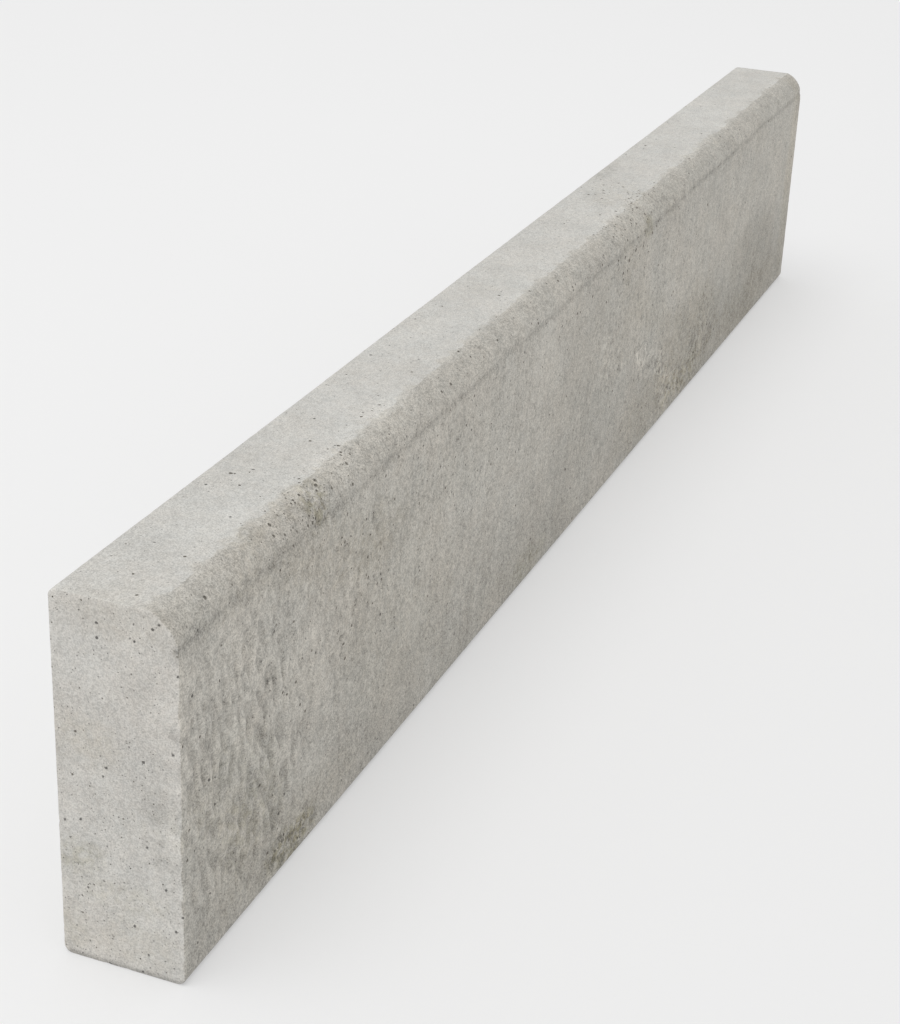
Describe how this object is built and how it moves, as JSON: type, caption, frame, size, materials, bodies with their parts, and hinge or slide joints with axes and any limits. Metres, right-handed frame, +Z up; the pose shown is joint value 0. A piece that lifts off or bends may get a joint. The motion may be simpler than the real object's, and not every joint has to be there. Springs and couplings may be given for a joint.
{
  "type": "concrete kerb stone",
  "caption": "Long narrow concrete kerb stone of rectangular section with one rounded top edge, for edging a road or path.",
  "frame": {"origin": "on the bed face, under the middle of the stone", "axes": "+X along the stone, +Y across it from the road face with the rounded top edge (-Y) to the back face (+Y), +Z up from the bed face to the top"},
  "size_m": [0.915, 0.05, 0.15],
  "materials": {
    "concrete": "cast concrete, matt, light warm grey, with fine sand grain and small air pores"
  },
  "bodies": {
    "root": {"kerb_stone": "concrete"}
  },
  "joints": []
}
